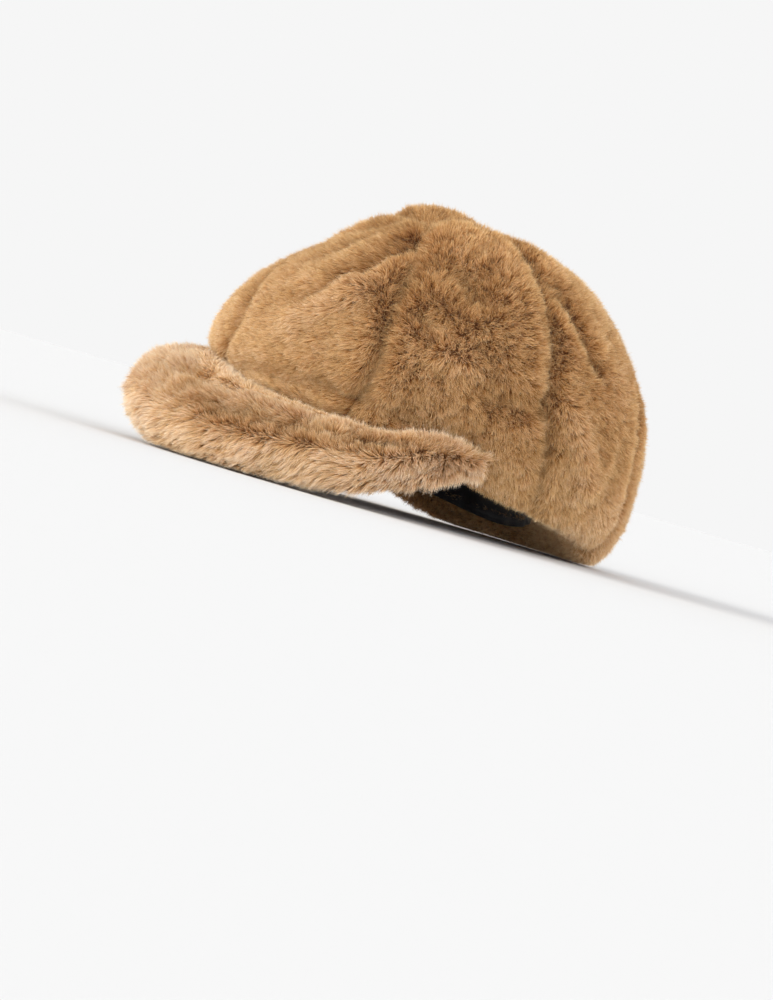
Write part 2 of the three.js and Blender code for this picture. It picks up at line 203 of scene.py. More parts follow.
def relief(az, up, p):
    shift = smooth((up - 0.25) / 0.75)
    r = np.hypot(p[:, 0] - APEX_X * shift, p[:, 1] - APEX_Y * shift)
    width = np.minimum(SEAM_WIDTH, 0.28 * r + 1)
    d = np.zeros_like(az)
    for k in range(-1, 9):
        across = (az - seam_azimuth(k, up)) * RAD * r
        d -= SEAM_VALLEY * smooth(up / 0.28) * smooth(r / 40) * np.exp(-((across / width) ** 2))
    for az0, up0, az1, up1, wide, rise in FOLDS:
        vx, vy = (az1 - az0) * RAD * r, (up1 - up0) * 300
        for turn in (-360, 0, 360):
            px, py = (az + turn - az0) * RAD * r, (up - up0) * 300
            t = np.clip((px * vx + py * vy) / np.maximum(1e-6, vx * vx + vy * vy), 0, 1)
            d += rise * np.exp(-((np.hypot(px - vx * t, py - vy * t) / wide) ** 2))
    return d


def band_radius(az):
    a, b = OPENING_LONG / 2 + BAND_THICK, OPENING_WIDE / 2 + BAND_THICK
    return a * b / np.hypot(b * np.cos(az * RAD), a * np.sin(az * RAD))


def clear_of_band(p, up):
    r = np.hypot(p[:, 0], p[:, 1])
    need = band_radius(np.arctan2(p[:, 0], -p[:, 1]) / RAD) + HEM_GAP
    k = np.where((r < need) & (r > 40) & (up < 0.3), need / np.maximum(r, 1e-6), 1.0)
    p[:, 0] *= k
    p[:, 1] *= k


def crown_faces(az, up):
    """The outer and the inner face of the crown."""
    base, normal = crown_form(az, up), form_normal(az, up)
    d = relief(az, up, base)[:, None]
    out = base + normal * d
    inn = crown_form(az, up, WALL) + normal * d
    clear_of_band(out, up)
    clear_of_band(inn, up)
    out[:, 2] = rest(out[:, 2])
    inn[:, 2] = np.maximum(inn[:, 2], out[:, 2] + mix(WALL_PRESSED, -2 * WALL, smooth((out[:, 2] - PRESS) / (2 * PRESS))))
    return out, inn


def gore_grid(k, rows, cols):
    """Outer and inner faces of gore k on a grid, with the azimuth and height of each point."""
    up = (1 - (1 - np.linspace(0, 1, rows)) ** 1.08)[:, None] * np.ones((1, cols))
    a0, a1 = seam_azimuth(k, up), seam_azimuth(k + 1, up)
    mid = crown_form(((a0 + a1) / 2).ravel(), up.ravel()).reshape(rows, cols, 3)
    shift = smooth((up - 0.25) / 0.75)
    r = np.maximum(APEX_RADIUS, np.hypot(mid[..., 0] - APEX_X * shift, mid[..., 1] - APEX_Y * shift))
    trim = GAP / 2 / r / RAD
    az = mix(a0 + trim, a1 - trim, np.linspace(0, 1, cols)[None, :])
    out, inn = crown_faces(az.ravel(), up.ravel())
    return out.reshape(rows, cols, 3), inn.reshape(rows, cols, 3), az, up


def crown_profile(az):
    up = np.arange(0, 0.4401, 0.02)
    p = crown_form(np.full_like(up, az), up)
    return np.hypot(p[:, 0], p[:, 1]), p[:, 2]


def peak_ring(az, turns):
    """One closed section of the peak."""
    root_r, root_z, tip_r, tip_z, thick, bow = (peak_column(k, az) for k in range(1, 7))
    pr, pz = crown_profile(az)
    low = int(np.argmin(pz))
    along, side = (1 - np.cos(turns)) / 2, np.sin(turns)
    dr, dz = tip_r - root_r, tip_z - root_z
    length = math.hypot(dr, dz) or 1
    fat = thick / 2 * np.sign(side) * np.abs(side) ** 0.75 * mix(0.72, 1, smooth(along * 1.4))
    arch = bow * 4 * along * (1 - along)
    r = root_r + dr * along - dz / length * (fat + arch)
    z = root_z + dz * along + dr / length * (fat + arch)
    for n in range(len(r)):
        for k in range(len(pr) - 1, 0, -1):
            if z[n] <= pz[low]:
                break
            if pz[k - 1] <= z[n] <= pz[k]:
                r[n] = max(r[n], mix(pr[k - 1], pr[k], (z[n] - pz[k - 1]) / ((pz[k] - pz[k - 1]) or 1)) + PEAK_GAP)
                break
    z = np.where(r < pr[low] + 3, np.minimum(z, pz[low] - PEAK_GAP), z)
    return np.stack([r * math.sin(az * RAD), -r * math.cos(az * RAD), rest(z)], 1)


# ---------------------------------------------------------------- noise
def hash01(i, j, k, seed):
    """Repeatable numbers from 0 to 1 for whole-number cells."""
    m = np.uint64(0xFFFFFFFF)
    with np.errstate(over="ignore"):
        h = (i.astype(np.uint64) * np.uint64(73856093)) ^ (j.astype(np.uint64) * np.uint64(19349663)) \
            ^ (k.astype(np.uint64) * np.uint64(83492791)) ^ np.uint64(seed * 2654435761 & 0xFFFFFFFF)
        h &= m
        for _ in range(2):
            h ^= h >> np.uint64(16)
            h = (h * np.uint64(0x45D9F3B)) & m
        h ^= h >> np.uint64(16)
    return h.astype(float) / 4294967296.0


def noise(p, scale, seed):
    """Smooth noise, -1 to 1."""
    q = p / scale + 100.0
    c = np.floor(q).astype(np.int64)
    f = q - c
    f = f * f * (3 - 2 * f)
    total = 0
    for dx in (0, 1):
        for dy in (0, 1):
            for dz in (0, 1):
                w = (f[:, 0] if dx else 1 - f[:, 0]) * (f[:, 1] if dy else 1 - f[:, 1]) * (f[:, 2] if dz else 1 - f[:, 2])
                total = total + w * hash01(c[:, 0] + dx, c[:, 1] + dy, c[:, 2] + dz, seed)
    return total * 2 - 1


def noise3(p, scale, seed):
    return np.stack([noise(p, scale, seed + k) for k in range(3)], 1)


def clumps(p, size, seed):
    """The nearest clump's centre to each point, and a number for that clump."""
    q = p / size + 200.0
    c = np.floor(q).astype(np.int64)
    best = np.full(len(p), 1e9)
    centre, tag = np.zeros_like(p), np.zeros(len(p))
    for dx in (-1, 0, 1):
        for dy in (-1, 0, 1):
            for dz in (-1, 0, 1):
                x, y, z = c[:, 0] + dx, c[:, 1] + dy, c[:, 2] + dz
                s = np.stack([x + hash01(x, y, z, seed), y + hash01(x, y, z, seed + 1), z + hash01(x, y, z, seed + 2)], 1)
                d = ((s - q) ** 2).sum(1)
                near = d < best
                best[near] = d[near]
                centre[near] = s[near]
                tag[near] = hash01(x, y, z, seed + 3)[near]
    return (centre - 200.0) * size, tag


# ---------------------------------------------------------------- grids
def grid_normals(g, wrap=False):
    """Normals of a grid of points: rows up, columns to the wearer's left."""
    du = np.gradient(g, axis=0)
    dv = (np.roll(g, -1, 1) - np.roll(g, 1, 1)) / 2 if wrap else np.gradient(g, axis=1)
    return unit(np.cross(dv, du))


def at_grid(g, jf, i_f, wrap=False):
    """Values of a grid at fractional rows and columns."""
    rows, cols = g.shape[:2]
    j = np.clip(np.floor(jf).astype(int), 0, rows - 2)
    tj = (jf - j)[:, None]
    if wrap:
        i = np.floor(i_f).astype(int) % cols
        ti = (i_f - np.floor(i_f))[:, None]
        i1 = (i + 1) % cols
    else:
        i = np.clip(np.floor(i_f).astype(int), 0, cols - 2)
        ti = (i_f - i)[:, None]
        i1 = i + 1
    return (g[j, i] * (1 - ti) + g[j, i1] * ti) * (1 - tj) + (g[j + 1, i] * (1 - ti) + g[j + 1, i1] * ti) * tj


def spread(g, pitch, rng, wrap=False):
    """Fractional rows and columns of points spread evenly over a grid, about a pitch apart."""
    rows, cols = g.shape[:2]
    step = np.linalg.norm(np.diff(g, axis=0), axis=2).mean(1)
    run = np.concatenate([[0], np.cumsum(step)])
    n = max(2, int(run[-1] / pitch))
    jr = np.interp((np.arange(n) + 0.5) / n * run[-1], run, np.arange(rows))
    line = np.concatenate([g, g[:, :1]], 1) if wrap else g
    seg = np.linalg.norm(np.diff(line, axis=1), axis=2)
    cum = np.concatenate([np.zeros((rows, 1)), np.cumsum(seg, 1)], 1)
    all_j, all_i = [], []
    for j in jr:
        j0 = min(int(j), rows - 2)
        c = cum[j0] * (1 - (j - j0)) + cum[j0 + 1] * (j - j0)
        m = max(1, int(round(c[-1] / pitch)))
        s = (np.arange(m) + rng.random(m)) / m * c[-1]
        all_i.append(np.interp(s, c, np.arange(len(c))))
        all_j.append(np.full(m, j) + (rng.random(m) - 0.5) * (jr[1] - jr[0]))
    jf, i_f = np.clip(np.concatenate(all_j), 0, rows - 1.001), np.concatenate(all_i)
    return jf, (i_f if wrap else np.clip(i_f, 0, cols - 1.001))


# ---------------------------------------------------------------- meshes
def new_object(name, verts, faces, materials, smooth_shading=True):
    """An object from arrays: verts in mm, faces an array of equal polygons."""
    verts, faces = metres(verts), np.asarray(faces)
    me = bpy.data.meshes.new(name)
    n, k = faces.shape
    me.vertices.add(len(verts))
    me.vertices.foreach_set("co", verts.astype(np.float32).ravel())
    me.loops.add(n * k)
    me.loops.foreach_set("vertex_index", faces.astype(np.int32).ravel())
    me.polygons.add(n)
    me.polygons.foreach_set("loop_start", np.arange(0, n * k, k, dtype=np.int32))
    me.polygons.foreach_set("use_smooth", np.full(n, smooth_shading))
    me.update(calc_edges=True)
    for m in materials:
        me.materials.append(m)
    ob = bpy.data.objects.new(name, me)
    scene.collection.objects.link(ob)
    return ob


def closed_grid(outer, inner):
    """A closed body from an outer and an inner grid of points."""
    rows, cols = outer.shape[:2]
    v = np.concatenate([outer.reshape(-1, 3), inner.reshape(-1, 3)])
    o = np.arange(rows * cols).reshape(rows, cols)
    n = o + rows * cols
    q = lambda a, b, c, d: np.stack([a.ravel(), b.ravel(), c.ravel(), d.ravel()], 1)
    faces = [q(o[:-1, :-1], o[:-1, 1:], o[1:, 1:], o[1:, :-1]), q(n[:-1, :-1], n[1:, :-1], n[1:, 1:], n[:-1, 1:]),
             q(o[:-1, 0], o[1:, 0], n[1:, 0], n[:-1, 0]), q(o[:-1, -1], n[:-1, -1], n[1:, -1], o[1:, -1]),
             q(o[0, :-1], n[0, :-1], n[0, 1:], o[0, 1:]), q(o[-1, :-1], o[-1, 1:], n[-1, 1:], n[-1, :-1])]
    count = len(faces[0])
    f = np.concatenate(faces)
    return v, f, slice(count, 2 * count)


def strands(name, base, normal, tangent, height, width, tone, rng, material, floor=0.35):
    """Joined fur strands, each a thin triangle from a wide foot to a fine tip. tangent is how far the tip leans."""
    n = len(base)
    tip = base + normal * height[:, None] + tangent
    tip[:, 2] = np.maximum(tip[:, 2], floor + rng.random(n) * 1.6)
    along = unit(tip - base)
    side = np.cross(along, normal)
    weak = np.linalg.norm(side, axis=1) < 0.15
    side[weak] += np.cross(along[weak], unit(rng.normal(size=(int(weak.sum()), 3))))
    side = unit(side)
    up = np.cross(side, along)
    turn = rng.normal(0, 0.7, n)[:, None]
    side = unit(side * np.cos(turn) + up * np.sin(turn)) * (width * 0.5)[:, None]
    v = np.stack([base - side, base + side, tip], 1).reshape(-1, 3)
    f = np.arange(3 * n).reshape(-1, 3)
    ob = new_object(name, v, f, [material])
    uv = ob.data.uv_layers.new(name="OFBake")
    t = np.clip(tone, 0.01, 0.99)
    per_corner = np.stack([np.tile([0.0, 0.0, 1.0], (n, 1)), np.stack([t - 0.003, t + 0.003, t], 1)], 2)
    uv.data.foreach_set("uv", per_corner.astype(np.float32).ravel())
    return ob


# ---------------------------------------------------------------- materials
def srgb(r, g, b):
    f = lambda c: (c / 255 / 12.92) if c <= 10.31 else ((c / 255 + 0.055) / 1.055) ** 2.4
    return (f(r), f(g), f(b), 1.0)


def new_material(name):
    m = bpy.data.materials.new(name)
    m.use_nodes = True
    nt = m.node_tree
    bsdf = next(x for x in nt.nodes if x.type == "BSDF_PRINCIPLED")
    return m, nt, bsdf


def ramp(nt, stops, interpolation="LINEAR"):
    node = nt.nodes.new("ShaderNodeValToRGB")
    node.color_ramp.interpolation = interpolation
    els = node.color_ramp.elements
    while len(els) > 1:
        els.remove(els[-1])
    els[0].position, els[0].color = stops[0]
    for pos, col in stops[1:]:
        e = els.new(pos)
        e.color = col
    return node


def fur_material(name, root, low, high, tip):
    """Colour by the place along a strand (U) and the strand's tone (V); the tone holds random variation and also
    painted light and shade.
    """
    m, nt, bsdf = new_material(name)
    uv = nt.nodes.new("ShaderNodeUVMap")
    uv.uv_map = "OFBake"
    sep = nt.nodes.new("ShaderNodeSeparateXYZ")
    # Dark roots to pale tips: partly the fur's own darker roots, partly painted shade deep in the pile between the
    # strands.
    along = ramp(nt, [(0.0, root), (0.38, low), (0.78, high), (1.0, tip)])
    tones = ramp(nt, [(0.0, (0.42, 0.31, 0.22, 1)), (0.35, (0.77, 0.69, 0.59, 1)), (0.7, (0.95, 0.93, 0.90, 1)), (1.0, (1.0, 1.04, 1.22, 1))])
    mul = nt.nodes.new("ShaderNodeMix")
    mul.data_type, mul.blend_type = "RGBA", "MULTIPLY"
    mul.inputs["Factor"].default_value = 1.0
    nt.links.new(uv.outputs["UV"], sep.inputs[0])
    nt.links.new(sep.outputs["X"], along.inputs[0])
    nt.links.new(sep.outputs["Y"], tones.inputs[0])
    nt.links.new(along.outputs["Color"], mul.inputs[6])
    nt.links.new(tones.outputs["Color"], mul.inputs[7])
    nt.links.new(mul.outputs[2], bsdf.inputs["Base Color"])
    bsdf.inputs["Roughness"].default_value = 0.62
    bsdf.inputs["Specular IOR Level"].default_value = 0.25
    bsdf.inputs["Sheen Weight"].default_value = 0.25
    bsdf.inputs["Sheen Roughness"].default_value = 0.5
    bsdf.inputs["Sheen Tint"].default_value = srgb(255, 232, 200)
    return m


def noise_node(nt, coord, scale, detail=3.0, rough=0.55):
    n = nt.nodes.new("ShaderNodeTexNoise")
    n.inputs["Scale"].default_value = scale
    n.inputs["Detail"].default_value = detail
    n.inputs["Roughness"].default_value = rough
    nt.links.new(coord, n.inputs["Vector"])
    return n


def underfur_material():
    """The dense short fur at the foot of the pile."""
    m, nt, bsdf = new_material("underfur")
    coord = nt.nodes.new("ShaderNodeTexCoord").outputs["Object"]
    fine, broad = noise_node(nt, coord, 900, 4), noise_node(nt, coord, 60, 2)
    colour = ramp(nt, [(0.25, srgb(128, 84, 48)), (0.55, srgb(164, 116, 72)), (0.8, srgb(190, 142, 96))])
    nt.links.new(fine.outputs["Fac"], colour.inputs[0])
    bump = nt.nodes.new("ShaderNodeBump")
    bump.inputs["Strength"].default_value = 0.8
    bump.inputs["Distance"].default_value = 0.0015
    nt.links.new(fine.outputs["Fac"], bump.inputs["Height"])
    nt.links.new(bump.outputs["Normal"], bsdf.inputs["Normal"])
    rough = ramp(nt, [(0.3, (0.85, 0.85, 0.85, 1)), (0.7, (1, 1, 1, 1))])
    nt.links.new(broad.outputs["Fac"], rough.inputs[0])
    nt.links.new(colour.outputs["Color"], bsdf.inputs["Base Color"])
    nt.links.new(rough.outputs["Color"], bsdf.inputs["Roughness"])
    bsdf.inputs["Specular IOR Level"].default_value = 0.15
    return m


def backing_material():
    """The knitted ground of the fur fabric, seen from inside."""
    m, nt, bsdf = new_material("knit_backing")
    coord = nt.nodes.new("ShaderNodeTexCoord").outputs["Object"]
    rows, cols = nt.nodes.new("ShaderNodeTexWave"), nt.nodes.new("ShaderNodeTexWave")
    for w, axis in ((rows, "Z"), (cols, "DIAGONAL")):
        w.wave_type, w.bands_direction = "BANDS", axis
        w.inputs["Scale"].default_value = 160
        w.inputs["Distortion"].default_value = 0.6
        w.inputs["Detail Scale"].default_value = 2.0
        nt.links.new(coord, w.inputs["Vector"])
    mixed = nt.nodes.new("ShaderNodeMath")
    mixed.operation = "MULTIPLY"
    nt.links.new(rows.outputs["Fac"], mixed.inputs[0])
    nt.links.new(cols.outputs["Fac"], mixed.inputs[1])
    colour = ramp(nt, [(0.0, srgb(150, 116, 80)), (0.6, srgb(205, 172, 132))])
    nt.links.new(mixed.outputs[0], colour.inputs[0])
    bump = nt.nodes.new("ShaderNodeBump")
    bump.inputs["Strength"].default_value = 0.6
    bump.inputs["Distance"].default_value = 0.0006
    nt.links.new(mixed.outputs[0], bump.inputs["Height"])
    nt.links.new(bump.outputs["Normal"], bsdf.inputs["Normal"])
    nt.links.new(colour.outputs["Color"], bsdf.inputs["Base Color"])
    bsdf.inputs["Roughness"].default_value = 0.95
    return m


def satin_material():
    """Black satin: fine floats across the band, soft gloss."""
    m, nt, bsdf = new_material("band_satin")
    coord = nt.nodes.new("ShaderNodeTexCoord").outputs["Object"]
    wave = nt.nodes.new("ShaderNodeTexWave")
    wave.wave_type, wave.bands_direction = "BANDS", "Z"
    wave.inputs["Scale"].default_value = 480
    wave.inputs["Distortion"].default_value = 1.2
    nt.links.new(coord, wave.inputs["Vector"])
    fine = noise_node(nt, coord, 700, 3)
    colour = ramp(nt, [(0.3, srgb(20, 19, 23)), (0.75, srgb(40, 39, 46))])
    nt.links.new(fine.outputs["Fac"], colour.inputs[0])
    rough = ramp(nt, [(0.2, (0.30, 0.30, 0.30, 1)), (0.9, (0.46, 0.46, 0.46, 1))])
    nt.links.new(wave.outputs["Fac"], rough.inputs[0])
    bump = nt.nodes.new("ShaderNodeBump")
    bump.inputs["Strength"].default_value = 0.35
    bump.inputs["Distance"].default_value = 0.0003
    nt.links.new(wave.outputs["Fac"], bump.inputs["Height"])
    nt.links.new(bump.outputs["Normal"], bsdf.inputs["Normal"])
    nt.links.new(colour.outputs["Color"], bsdf.inputs["Base Color"])
    nt.links.new(rough.outputs["Color"], bsdf.inputs["Roughness"])
    bsdf.inputs["Sheen Weight"].default_value = 0.2
    return m


# The dark root colours are partly the fur's own and partly painted shade deep in the pile.
crown_fur = fur_material("crown_fur", srgb(112, 64, 28), srgb(203, 146, 84), srgb(242, 201, 141), srgb(253, 231, 189))
peak_fur = fur_material("peak_fur", srgb(138, 90, 46), srgb(220, 171, 112), srgb(250, 217, 168), srgb(254, 244, 218))
underfur, backing, satin = underfur_material(), backing_material(), satin_material()


def put(ob, slot, *nodes):
    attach(ob, root_body)
    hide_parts(*nodes)


# ---------------------------------------------------------------- the crown
PITCH = 0.495
PEAK_PITCH = 0.53
BACKING_AT = 0.62          # the backing's outer face, from the outer form to the inner


def crown_comb(p, n, down, az, up, rng):
    """Which way and how far the tips lean, before clumps, in mm."""
    az = np.mod(az + 180, 360) - 180
    front = smooth((44 - az) / 14) * smooth((az + 80) / 30)
    hem, u_hem = smooth((0.34 - up) / 0.26), up
    lean = down * (1.7 + 2.1 * hem * smooth((u_hem - 0.08) / 0.1))[:, None]
    lean += cam_left[None, :] * (5.0 * front)[:, None]
    side = smooth((az - 38) / 10) * smooth((110 - az) / 20)
    lean *= (1 - 0.7 * side * (1 - hem))[:, None]
    lean += noise3(p, 26, 11) * 2.2 + noise3(p, 8, 17) * 1.2
    return lean


for k, node in enumerate(GORES):
    rng = np.random.default_rng(100 + k)
    out, inn, az, up = gore_grid(k, 141, 41)
    by_peak = smooth((88 - np.abs(np.mod(az + 185, 360) - 180)) / 8) * smooth((0.27 - up) / 0.08)   # close against the peak
    base_face = out + (inn - out) * (BACKING_AT * (1 - 0.9 * by_peak))[..., None]
    v, f, inside = closed_grid(base_face[::2, ::4], inn[::2, ::4])
    shell = new_object(node + "_backing", v, f, [underfur, backing])
    index = np.zeros(len(f), np.int32)
    index[inside] = 1
    shell.data.polygons.foreach_set("material_index", index)
    put(shell, "crown_fur", node)

    jf, i_f = spread(out, PITCH, rng)
    a, u = at_grid(az[..., None], jf, i_f)[:, 0], at_grid(up[..., None], jf, i_f)[:, 0]
    n_base = grid_normals(base_face)
    n_mix = unit(n_base * 0.75 + grid_normals(out) * 0.25)
    base, normal, tips = at_grid(base_face, jf, i_f), unit(at_grid(n_mix, jf, i_f)), at_grid(out, jf, i_f)
    down = unit(at_grid(-np.gradient(out, axis=0), jf, i_f))
    depth = np.linalg.norm(tips - base, axis=1)
    lean = crown_comb(tips, normal, down, a, u, rng)
    over = at_grid(by_peak[..., None], jf, i_f) * 4.0
    lean += np.stack([np.sin(a * RAD), -np.cos(a * RAD), np.full_like(a, -0.25)], 1) * over      # fluffed out over the peak's root
    lean += rng.normal(0, 1.45, lean.shape)
    small, tag = clumps(tips, 3.1, 31)
    large, big_tag = clumps(tips, 7.5, 47)
    depth_of_fold = relief(a, u, crown_form(a, u))
    lean += (small - tips) * 0.50 + (large - tips) * 0.12
    lean += (np.stack([hash01(np.floor(tag * 1e6), np.floor(tag * 1e5), np.full(len(tag), q), 5) for q in (1, 2, 3)], 1) - 0.5) * 2.8
    lean -= normal * (lean * normal).sum(1, keepdims=True)
    length = np.linalg.norm(lean, axis=1)
    lean *= (np.minimum(length, 6.5) / np.maximum(length, 1e-6))[:, None]
    guard = rng.random(len(depth)) < 0.04
    height = np.maximum(depth - 0.6, 2.2) * (1 + rng.normal(0, 0.15, len(depth)) + 0.40 * (tag - 0.5) + 0.16 * (big_tag - 0.5) + 0.30 * guard) - 0.07 * length
    tone = 0.62 + 0.13 * noise(tips, 22, 71) + 0.16 * noise(tips, 6, 73) + 0.26 * (tag - 0.5) + 0.10 * (big_tag - 0.5) + rng.normal(0, 0.16, len(depth))
    # Painted shade and highlight: seams and dents are painted darker and ridges painted paler, by the depth of the
    # relief.
    tone += 0.030 * np.clip(depth_of_fold, -10, 7) + 0.03 * np.clip(depth_of_fold - 1, 0, 5)
    turn = np.mod(a + 180, 360) - 180
    tone += 0.34 * smooth((a - 112) / 20) * smooth((218 - a) / 30) * smooth((0.46 - u) / 0.2)       # the low back and the droop painted paler: painted light
    # Painted light and shade: the hem above the peak is painted paler where it lies in shade, and the top is painted
    # darker where the light from above falls full on it.
    tone += 0.12 * smooth((62 - np.abs(turn)) / 12) * smooth((0.26 - u) / 0.1) - 0.30 * smooth((u - 0.78) / 0.12)
    # Painted light: the front between azimuth -75 and 0, below three quarters of the way up, is painted paler.
    tone += 0.06 * smooth((10 - turn) / 16) * smooth((turn + 90) / 30) * smooth((0.75 - u) / 0.1)
    width = rng.uniform(0.48, 0.84, len(depth)) * (1 - 0.35 * guard)
    pile = strands(node + "_pile", base, normal, lean, height, width, tone, rng, crown_fur)
    put(pile, "crown_fur", node)

# ---------------------------------------------------------------- the peak
# Creases and rolls: from (azimuth, turn) to (azimuth, turn), half width, rise.
PEAK_FOLDS = [(-26, 112, -14, 92, 4.5, -6.5), (-14, 92, -12, 60, 4.5, -6.5), (-12, 70, 6, 64, 5, -4.0), (-22, 84, -19, 70, 8, 2.5),
              (2, 78, 60, 84, 7, 2.2), (8, 108, 52, 122, 8, -3.6), (28, 96, 32, 70, 6, -3.0),
              (-34, 130, -6, 150, 12, 2.0), (46, 100, 50, 130, 5, -1.8)]
rng = np.random.default_rng(300)
P_ROWS, P_COLS = 91, 48
turns = np.arange(P_COLS) / P_COLS * 2 * math.pi
peak_az = np.linspace(PEAK[0][0], PEAK[-1][0], P_ROWS)
peak_out = np.stack([peak_ring(a, turns) for a in peak_az])
n_out = grid_normals(peak_out, wrap=True)


def peak_relief(az, turn, p):
    """Soft unevenness of the padding, mm. turn is in degrees round the section, 90 on top and 180 at the rim."""
    d = 2.2 * noise(p, 26, 401) + 1.7 * noise(p, 13, 403)
    for az0, t0, az1, t1, wide, rise in PEAK_FOLDS:
        vx, vy = (az1 - az0) * RAD * 150, (t1 - t0) * RAD * 28
        px, py = (az - az0) * RAD * 150, (turn - t0) * RAD * 28
        t = np.clip((px * vx + py * vy) / max(1e-6, vx * vx + vy * vy), 0, 1)
        d += rise * np.exp(-((np.hypot(px - vx * t, py - vy * t) / wide) ** 2))
    return d


centre = peak_out.mean(1, keepdims=True)
if ((peak_out - centre) * n_out).sum() < 0:
    n_out = -n_out
_az, _turn = np.repeat(peak_az, P_COLS), np.tile(turns, P_ROWS) / RAD
_d = peak_relief(_az, _turn, peak_out.reshape(-1, 3)) * smooth(peak_out[..., 2].ravel() / 8.0) * smooth(1.15 - np.cos(_turn * RAD))
peak_out = peak_out + n_out * _d.reshape(P_ROWS, P_COLS, 1)
fold_depth = _d.reshape(P_ROWS, P_COLS, 1)
n_out = grid_normals(peak_out, wrap=True)
if ((peak_out - centre) * n_out).sum() < 0:
    n_out = -n_out
thick = np.array([peak_column(5, a) for a in peak_az])
sink = np.minimum(6.5, thick * 0.22)[:, None, None] * (1 - 0.95 * smooth((np.cos(turns) - 0.30) / 0.35))[None, :, None]
ends = smooth(np.minimum(np.arange(P_ROWS), P_ROWS - 1 - np.arange(P_ROWS)) / 6.0)[:, None, None]
peak_base = centre + (peak_out - centre) * np.clip(1 - sink / np.maximum(np.linalg.norm(peak_out - centre, axis=2, keepdims=True), 1e-6), 0.25, 1)
peak_base = centre + (peak_base - centre) * (0.75 + 0.25 * ends)
rows, cols = peak_base.shape[:2]
idx = np.arange(rows * cols).reshape(rows, cols)
nxt = np.roll(idx, -1, 1)
quads = np.stack([idx[:-1].ravel(), nxt[:-1].ravel(), nxt[1:].ravel(), idx[1:].ravel()], 1)
v = peak_base.reshape(-1, 3)
v = np.concatenate([v, v[idx[0]].mean(0)[None], v[idx[-1]].mean(0)[None]])
caps = []
for ring, hub, flip in ((idx[0], rows * cols, False), (idx[-1], rows * cols + 1, True)):
    for i in range(0, cols, 2):
        a, b, c = ring[i], ring[(i + 1) % cols], ring[(i + 2) % cols]
        caps.append((hub, a, b, c) if flip else (hub, c, b, a))
core = new_object("peak_core", v, np.concatenate([quads, np.array(caps)]), [underfur])
put(core, "peak_fur", "peak")

jf, i_f = spread(peak_out, PEAK_PITCH, rng, wrap=True)
base, tips = at_grid(peak_base, jf, i_f, wrap=True), at_grid(peak_out, jf, i_f, wrap=True)
normal = unit(at_grid(n_out, jf, i_f, wrap=True))
az = np.interp(jf, np.arange(P_ROWS), peak_az)
turn = i_f / P_COLS * 2 * math.pi
hidden = (np.cos(turn) > 0.99)
keep = ~hidden
base, tips, normal, az, turn, jf, i_f = base[keep], tips[keep], normal[keep], az[keep], turn[keep], jf[keep], i_f[keep]
depth = np.linalg.norm(tips - base, axis=1)
outward = np.stack([np.sin(az * RAD), -np.cos(az * RAD), np.zeros_like(az)], 1)
deg = turn / RAD
upright = smooth((deg - 84) / 14) * smooth((142 - deg) / 16) * smooth((az + 2) / 12)
lower = smooth((deg - 130) / 24)
lobe = smooth((-az + 4) / 16) * (1 - lower)
lean = outward * (3.0 - 2.0 * upright)[:, None] + cam_left[None, :] * (2.6 + 2.2 * lower - 2.2 * upright)[:, None]
lean += np.array([0, 0, 1.0]) * (2.0 * lobe - 4.4 * lower - 0.6)[:, None]
at_root = smooth((64 - deg) / 26) * smooth(deg / 8)        # the top of the root reaches back over the hem
lean += (np.array([0, 0, 1.0]) * 2.5 - outward * 11.0) * at_root[:, None]
along_end = np.stack([np.cos(az * RAD), np.sin(az * RAD), np.zeros_like(az)], 1)
lean += along_end * (5.0 * smooth((az - 64) / 13) - 5.0 * smooth((-az - 70) / 16))[:, None]      # the ends are rounded off
lean += noise3(tips, 20, 211) * (2.4 + 1.4 * lower)[:, None] + noise3(tips, 8, 217) * 1.5 + rng.normal(0, 1.1, lean.shape)
comb = unit(np.array([-0.62, -0.55, -0.56]))
squeezed = tips - comb * ((tips @ comb) * 0.5)[:, None]          # clumps drawn out along the comb
small, tag = clumps(squeezed, 3.2, 231)
large, _ = clumps(squeezed, 7.5, 247)
lean += (small - squeezed) * (0.40 + 0.18 * lower)[:, None] + (large - squeezed) * 0.18
lean += (np.stack([hash01(np.floor(tag * 1e6), np.floor(tag * 1e5), np.full(len(tag), q), 5) for q in (1, 2, 3)], 1) - 0.5) * 3.4
lean -= normal * (lean * normal).sum(1, keepdims=True)
length = np.linalg.norm(lean, axis=1)
lean *= (np.minimum(length, 8.0 + 4.0 * at_root) / np.maximum(length, 1e-6))[:, None]
guard = rng.random(len(depth)) < 0.05
height = np.maximum(depth - 0.4, 4.5 * at_root) * (1 + rng.normal(0, 0.15, len(depth)) + (0.42 + 0.30 * lower) * (tag - 0.5) + 0.30 * guard) - 0.08 * length
tone = 0.68 + 0.12 * noise(tips, 20, 271) + 0.14 * noise(tips, 6, 273) + 0.30 * (tag - 0.5) + rng.normal(0, 0.15, len(depth))
# Painted light and shade: the rim's underside is painted paler as if lit by light bounced up from below, the end past
# azimuth 38 paler as if lit from the front, dents darker and rolls paler as painted shade and highlight; the left lobe
# is paler and the upright pile on top darker.
tone += 0.17 * lower + 0.16 * lobe - 0.13 * upright + 0.20 * smooth((az - 38) / 20) + 0.05 * np.clip(at_grid(fold_depth, jf, i_f, wrap=True)[:, 0], -4, 3)
width = rng.uniform(0.50, 0.88, len(depth))
pile = strands("peak_pile", base, normal, lean, height, width, tone, rng, peak_fur)
put(pile, "peak_fur", "peak")

